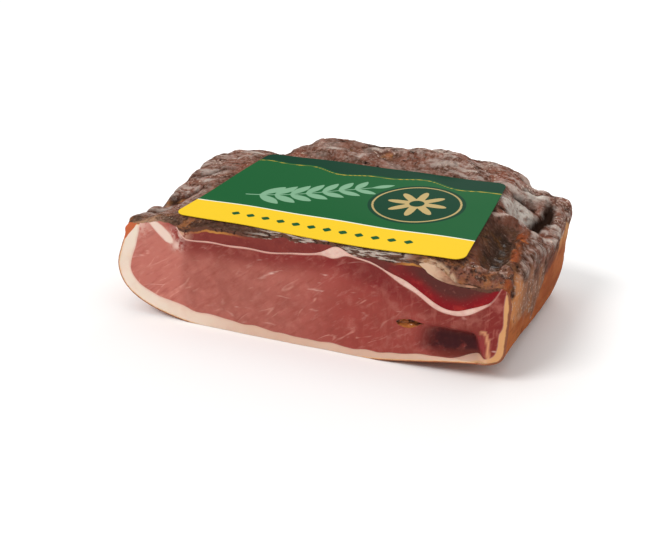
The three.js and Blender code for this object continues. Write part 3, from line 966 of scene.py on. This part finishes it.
def pork_fat():
    """Cured back fat: cream white and waxy, yellowed next to the rind."""
    material, tree, place, stored = new_material("pork_fat", "skin_mm", "edge_mm", "rind_tip")
    x = add(tree, "SeparateXYZ", [place])
    skin = stored["skin_mm"]
    at_right = ragged(tree, x, 86 * MM, 98 * MM, place, 8, 3 * MM)
    colour = stained(
        tree,
        linear("#e2cfbd"),
        ("#d9a899", ragged(tree, stored["edge_mm"], 1.6, 0.0, place, 4, 0.8, 0.7)),
        ("#d9b7a4", patches(tree, place, 15, 0.4, 0.7, 0.7)),
        ("#c9a18a", ragged(tree, x, -95 * MM, -20 * MM, place, 20, 10 * MM, 0.75)),
        ("#cb9460", at_right),
        ("#d9a873", ragged(tree, skin, 1.5, 0.7, place, 4, 0.5, 0.8)),
        ("#8f4f2b", ragged(tree, skin, 0.75, 0.35, place, 4, 0.4)),
        ("#7d4428", both(tree, at_right, ragged(tree, skin, 1.6, 0.9, place, 7, 0.8))),
        ("#b9582a", ragged(tree, stored["rind_tip"], 0.35, 0.6, place, 3, 0.2)),
    )
    grain = add(tree, "TexNoise", [place, per(2.5), 4.0, 0.6])
    surface(tree, {
        "Base Color": colour,
        "Roughness": 0.45,
        "Normal": add(tree, "Bump", {"Height": grain, "Strength": 0.25, "Distance": 0.25 * MM}),
        "Specular IOR Level": 0.3,
        "Coat Weight": 0.06,
        "Coat Roughness": 0.25,
        "Subsurface Weight": 0.2,
        "Subsurface Scale": 2.0 * MM,
    })
    return material


def inner_fat():
    """Fat between and under the muscles: pinkish white, with brown stains from the crust."""
    material, tree, place, stored = new_material("inner_fat", "edge_mm")
    x, _, z = add(tree, "SeparateXYZ", [place]).node.outputs
    past_seam = add(tree, "MapRange", [x, 44 * MM, 54 * MM])
    stain_above = ragged(tree, z, 42 * MM, 46 * MM, place, 2.5, 4 * MM, 0.9)
    by_trough = both(tree, ragged(tree, x, 60 * MM, 72 * MM, place, 4, 6 * MM), past_seam, stain_above)
    colour = stained(
        tree,
        linear("#dcb8a8"),
        ("#cb968a", patches(tree, place, 6, 0.45, 0.7, 0.8)),
        ("#c98e80", ragged(tree, x, 5 * MM, -4 * MM, place, 8, 2 * MM)),
        ("#dfc4b4", ragged(tree, x, -74 * MM, -80 * MM, place, 8, 4 * MM)),
        ("#cf9c8e", ragged(tree, stored["edge_mm"], 0.9, 0.1, place, 3, 0.5, 0.8)),
        ("#c9a587", both(tree, ragged(tree, z, 45 * MM, 48 * MM, place, 5, 1 * MM), past_seam)),
        ("#a0694a", by_trough),
        ("#6d4128", both(tree, by_trough, patches(tree, place, 3, 0.42, 0.58, 0.85, 4.0, (2, 1, 1)))),
        ("#8f4d48", ragged(tree, x, 88 * MM, 95 * MM, place, 5, 3 * MM, 0.9)),
    )
    surface(tree, {
        "Base Color": colour,
        "Roughness": 0.38,
        "Coat Weight": 0.2,
        "Coat Roughness": 0.25,
        "Subsurface Weight": 0.15,
        "Subsurface Scale": 1.5 * MM,
    })
    return material


def smoked_fat():
    """Fat in an open pocket, amber from the smoke."""
    material, tree, place, _ = new_material("smoked_fat")
    colour = stained(tree, linear("#b9713a"), ("#55291d", patches(tree, place, 4, 0.45, 0.6)))
    surface(tree, {"Base Color": colour, "Roughness": 0.35, "Coat Weight": 0.3, "Coat Roughness": 0.2})
    return material


def coated_paper():
    """Coated label paper, offset printed in flat inks under a matt varnish, almost without shine."""
    material, tree, place, stored = new_material("coated_paper", *LABEL_INKS)
    colour = linear("#1f5a32")
    for name, ink in LABEL_INKS.items():
        inside = add(tree, "MapRange", [stored[name], 0.15, -0.15])
        colour = stained(tree, colour, (ink, inside))
    # Paper fibres are finer than the picture shows, so their relief is drawn 3 mm coarse
    fibres = add(tree, "TexNoise", [place, per(3), 3.0, 0.6])
    surface(tree, {
        "Base Color": colour,
        "Roughness": 0.55,
        "Normal": add(tree, "Bump", {"Height": fibres, "Strength": 0.08, "Distance": 0.1 * MM}),
        "Specular IOR Level": 0.01,
    })
    return material


# The pieces
def sprig(u, v):
    """Distance from the edge of a sprig, below 0 inside it: a bent stem with pairs of leaves."""
    across, up = u - SPRIG_ROOT[0], v - SPRIG_ROOT[1]
    s = np.clip(across / SPRIG_LONG, 0, 1)
    shape = np.hypot(across - s * SPRIG_LONG, up - SPRIG_RISE * s ** 1.4) - 0.6
    for at in np.linspace(0.12, 1, 8):
        lean = math.atan(SPRIG_RISE * 1.4 * at ** 0.4 / SPRIG_LONG)
        for turn in (-0.8, 0.8):
            angle, reach = lean + turn * (at < 1), 9.5 - 2.5 * at
            du, dv = across - at * SPRIG_LONG, up - SPRIG_RISE * at ** 1.4
            ahead = du * math.cos(angle) + dv * math.sin(angle) - reach
            beside = dv * math.cos(angle) - du * math.sin(angle)
            shape = np.minimum(shape, np.abs(beside) - 0.34 * reach * (1 - (ahead / reach) ** 2))
    return shape


def printed_marks(u, v):
    """Distances from the edges of the label's printed shapes, below 0 inside them.

    u runs along the label's front edge and v away from it.
    """
    across, up = u - MEDALLION[0], v - MEDALLION[1]
    from_middle = np.hypot(across, up)
    around = np.arctan2(up, across)
    wave = 91 + 3.2 * np.sin(u / 13) + 1.6 * np.sin(u / 5.7 + 1) - v
    lozenge = np.abs(u % 9 - 4.5) + 1.2 * np.abs(v - 11.2) - 2.9
    return {
        "back_border": wave,
        "border_line": np.abs(wave - 1.6) - 0.35,
        "medallion": from_middle - 27,
        "ring": np.abs(from_middle - 24.3) - 0.6,
        "flower": from_middle - 11.5 - 5.5 * np.cos(8 * around),
        "flower_heart": from_middle - 4.2,
        "sprig": sprig(u, v),
        "white_line": v - 23.1,
        "front_band": v - 22.2,
        "lozenges": np.maximum(lozenge, np.abs(u - 81) - 54),
    }


def label_sheet(paper):
    """The paper label as a thin closed sheet, with the distances that its print is drawn from."""
    depth = LABEL_BACK - LABEL_FRONT
    rounding = LABEL_ROUND * (1 - np.cos(np.linspace(0, math.pi / 2, 9)))
    middle = np.linspace(LABEL_ROUND, depth - LABEL_ROUND, 100)[1:-1]
    rows = np.concatenate([rounding, middle, depth - rounding[::-1]])
    columns = np.linspace(0, 1, 170)
    points, across, along = [], [], []
    for lift in (0, LABEL_THICK):
        for d in rows:
            end = min(d, depth - d, LABEL_ROUND)
            inset = LABEL_ROUND - math.sqrt(max(LABEL_ROUND ** 2 - (LABEL_ROUND - end) ** 2, 0))
            x = lerp(lerp(*LABEL_LEFT, d / depth) + inset, lerp(*LABEL_RIGHT, d / depth) - inset, columns)
            y = LABEL_FRONT + d + lerp(LABEL_SKEW, -LABEL_SKEW, columns)
            ripple = 0.18 * np.sin(x / 9 + y / 23) + 0.15 * np.sin(x / 21 - y / 11)
            z = crown(x, y) + LABEL_LIFT + ripple + lift
            points.append(np.stack([x, y, z], 1))
            across.append(x - lerp(*LABEL_LEFT, d / depth))
            along.append(np.full(len(x), d))
    n, rings = len(columns), len(rows)
    low = np.arange(rings * n).reshape(rings, n)
    high = low + rings * n
    faces = []
    for grid in (low, high):
        corners = grid[:-1, :-1], grid[:-1, 1:], grid[1:, 1:], grid[1:, :-1]
        faces += np.stack(corners, -1).reshape(-1, 4).tolist()
    rim = np.concatenate([low[0], low[1:, -1], low[-1, -2::-1], low[-2:0:-1, 0]])
    for a, b in zip(rim, np.roll(rim, -1)):
        faces.append((int(a), int(b), int(b) + rings * n, int(a) + rings * n))
    label = face_outwards(mesh_object("printed_label", np.concatenate(points), faces, [paper]))
    for name, distance in printed_marks(np.concatenate(across), np.concatenate(along)).items():
        paint(label, name, distance)
    return label


def dress(piece, node, slot, inside, cut, whole_skin, layers):
    """Finishes a carved piece: its own flesh on the cut, and the numbers that the materials read."""
    keep_largest(piece)
    for i, material in enumerate(piece.data.materials):
        if material == cut:
            piece.data.materials[i] = inside
    p = points_of(piece)
    x, y, z = p.T
    over_seam = z - seam_level(x, y)
    places = (p - MIDDLE) * MM
    front = 1 - smoothstep(y, 5, 12)
    on_cut = 1 - smoothstep(y, 8, 12)
    rusty_left = front * (1 - smoothstep(x, -76, -62))
    rusty_right = (1 - smoothstep(y, 8, 26)) * smoothstep(x, 44, 56)

    def away(surfaces, most):
        """Distance from the nearest of the surfaces, in millimetres."""
        return np.min([[min(s.find_nearest(q)[3] / MM, most) for q in places] for s in surfaces], 0)

    numbers = {
        "skin_mm": away([whole_skin], 30),
        "edge_mm": away(layers, 9),
        "crust": crusted(p),
        "dulled": dulled(p),
        "ridge": [wrinkle(q) for q in p],
        # Pale bloom of salt and fat, with painted highlight on the lips, the rim and the hollow
        "bloom_and_highlight": pale_bloom_and_highlight(p),
        "sheets": np.clip(drawn(SHEETS, x, y) / 2, 0, 1),
        # Painted shade in the trough
        "sunken": sunken(x, y) * smoothstep(y, 5, 25),
        # Painted highlight along the crests of the lips
        "crest_highlight": np.clip((drawn(LIPS, x, y) - 1) / 1.5, 0, 1),
        "bared": bared(x, y),
        "tips": sum(bell(x, *across) * bell(y, *along) for across, along in ORANGE_TIPS),
        # Painted shade under the label's front edge
        "front": front * (1 - smoothstep(x, 40, 54)),
        "rusty": rusty_left + rusty_right,
        "frayed": front * smoothstep(x, -45, -25) * (1 - smoothstep(x, 42, 52)),
        "amber": on_cut * (bell(x, -59, 8) + bell(x, 50, 4)),
        "by_cut": 1 - smoothstep(y, 4, 32),
        "over_seam": over_seam,
        "near_seam": smoothstep(over_seam, -14, -2) + bell(x, 31, 12) * bell(over_seam, -6, 6),
        "deep_red": 0.6 * bell(x, 30, 11) * bell(over_seam, -2, 6),
        # Painted shade in the drawn creases
        "deep_crease_shade": np.clip(-drawn(LIPS, x, y) / 2, 0, 1),
        "rind_tip": on_cut * rind_tip(x, z),
        "rim": smoothstep(x, -83, -76) * (1 - smoothstep(x, 86, 93)),
        # Painted shade in the dent at the lower right of the cut
        "fold": on_cut * fold(x, z, 9),
        "flap": on_cut * bell(x, 89.5, 2) * bell(z, 20, 4),
        "side_streak": on_cut * streaked(x, z, 0.7),
        "flecks": on_cut * sum(bell(x, *across) * bell(z, *up) for across, up in FAT_FLECKS),
    }
    for name, values in numbers.items():
        paint(piece, name, values)
    settle(piece, node, slot)


def settle(piece, node, slot):
    """Smooths a piece and gives it its place in the frame."""
    piece.data.shade_smooth()
    piece.data.set_sharp_from_angle(angle=math.radians(SHARP_ANGLE))
    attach(piece, "root")
    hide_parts(node)


def ham():
    """Carves six pieces from one block, so that they meet along the same surfaces, and adds the label."""
    skin, cut = smoked_crust(), bpy.data.materials.new("cut")
    inner = inner_fat()
    block = block_skin(skin)
    whole_skin = BVHTree.FromObject(block, bpy.context.evaluated_depsgraph_get())
    ends = [[(x, -60, -30), (x, 220, -30), (x, 220, 0), (x, -60, 0)] for x in (-160, 160)]
    board = loft("board", ends, skin)
    pocket = lump("pocket", POCKET_RADII, POCKET_TURN, POCKET_PLACE, 0.2, smoked_fat())
    carve(block, "DIFFERENCE", knife_cut(cut), board, pocket)

    def low(x, y):
        return seam_level(x, y) - seam_half(x)

    def high(x, y):
        return seam_level(x, y) + seam_half(x)

    def far_up(x, y):
        return np.full(len(x), ABOVE_ALL)

    def far_down(x, y):
        return np.full(len(x), BELOW_ALL)

    inside, seam, strip, pad = flesh(-GAP, cut), slab(low, high, cut), fat_strip(0, cut), fat_pad(0, cut)
    meat = carve(copy_of(block, "meat"), "INTERSECT", inside)
    carve(meat, "DIFFERENCE", fat_strip(GAP, cut), fat_pad(GAP, cut))
    above = slab(lambda x, y: low(x, y) - GAP, far_up, cut)
    below = slab(far_down, lambda x, y: high(x, y) + GAP, cut)
    pieces = (
        ("main_muscle", meat, "DIFFERENCE", [above], "lean_main", "lean", cut_lean()),
        ("upper_muscle", meat, "DIFFERENCE", [below], "lean_upper", "dark_lean", cut_dried_lean()),
        ("seam_fat", meat, "INTERSECT", [seam], "fat_seam", "fat", inner),
        ("strip_fat", block, "INTERSECT", [inside, strip], "fat_strip", "fat", inner),
        ("pad_fat", block, "INTERSECT", [inside, pad], "fat_pad", "fat", inner),
        ("cap_fat", block, "DIFFERENCE", [flesh(0, cut)], "fat_cap", "rind", pork_fat()),
    )
    depsgraph = bpy.context.evaluated_depsgraph_get()
    layers = [BVHTree.FromObject(layer, depsgraph) for layer in (inside, seam, strip, pad)]
    kept = set(frame["nodes"].values())
    for name, whole, operation, tools, node, slot, material in pieces:
        piece = carve(copy_of(whole, name), operation, *tools)
        dress(piece, node, slot, material, cut, whole_skin, layers)
        kept.add(piece)
    label = label_sheet(coated_paper())
    settle(label, "label", "label")
    kept.add(label)

    for shape in list(bpy.context.scene.objects):
        if shape.type == "MESH" and shape not in kept:
            bpy.data.objects.remove(shape)


# The studio
def studio():
    """A pale floor, soft lights and a camera at the photograph's angle."""
    bpy.context.scene.view_settings.view_transform = "Standard"
    sides = ((-1, -1), (1, -1), (1, 1), (-1, 1))
    corners = [(x * FLOOR_REACH, y * FLOOR_REACH, FLOOR_LEVEL) for x, y in sides]
    material, tree, *_ = new_material("pale_floor")
    surface(tree, {"Base Color": linear("#f7f6f5"), "Roughness": 1.0, "Specular IOR Level": 0.0})
    floor = mesh_object("floor", corners, [(0, 1, 2, 3)], [material])

    world = bpy.data.worlds.new("studio")
    world.use_nodes = True
    tree = world.node_tree
    tree.nodes.clear()
    direction = add(tree, "TexCoord").node.outputs["Generated"]
    height = add(tree, "SeparateXYZ", [direction]).node.outputs["Z"]
    # The sky is brighter overhead than at the horizon
    glow = add(tree, "MapRange", [height, 0.1, 0.85, 0.25, 0.95])
    add(tree, "OutputWorld", [add(tree, "Background", [linear("#ffffff"), glow])])
    bpy.context.scene.world = world

    sun = bpy.data.lights.new("window", "SUN")
    sun.angle = math.radians(WINDOW_SPREAD)
    sun.energy = WINDOW_POWER
    lamp = bpy.data.lights.new("strip_light", "AREA")
    lamp.shape = "RECTANGLE"
    lamp.size, lamp.size_y = [side * MM for side in LAMP_SIDES]
    lamp.energy = LAMP_POWER
    for name, data, place in (("window", sun, WINDOW_PLACE), ("strip_light", lamp, LAMP_PLACE)):
        light = bpy.data.objects.new(name, data)
        light.location = Vector(place) * MM
        light.rotation_euler = (Vector(LIT_PLACE) - Vector(place)).to_track_quat("-Z", "Y").to_euler()
        bpy.context.scene.collection.objects.link(light)

    lens = bpy.data.cameras.new("camera")
    lens.lens = CAMERA_LENS
    camera = bpy.data.objects.new("camera", lens)
    turn = Euler((0, 0, math.radians(CAMERA_TURN))).to_matrix()
    tilt = Euler((math.radians(CAMERA_TILT), 0, 0)).to_matrix()
    roll = Euler((0, 0, math.radians(CAMERA_ROLL))).to_matrix()
    camera.matrix_world = (turn @ tilt @ roll).to_4x4()
    camera.location = (Vector(CAMERA_PLACE) - Vector(MIDDLE)) * MM
    bpy.context.scene.collection.objects.link(camera)
    bpy.context.scene.camera = camera


ham()
studio()
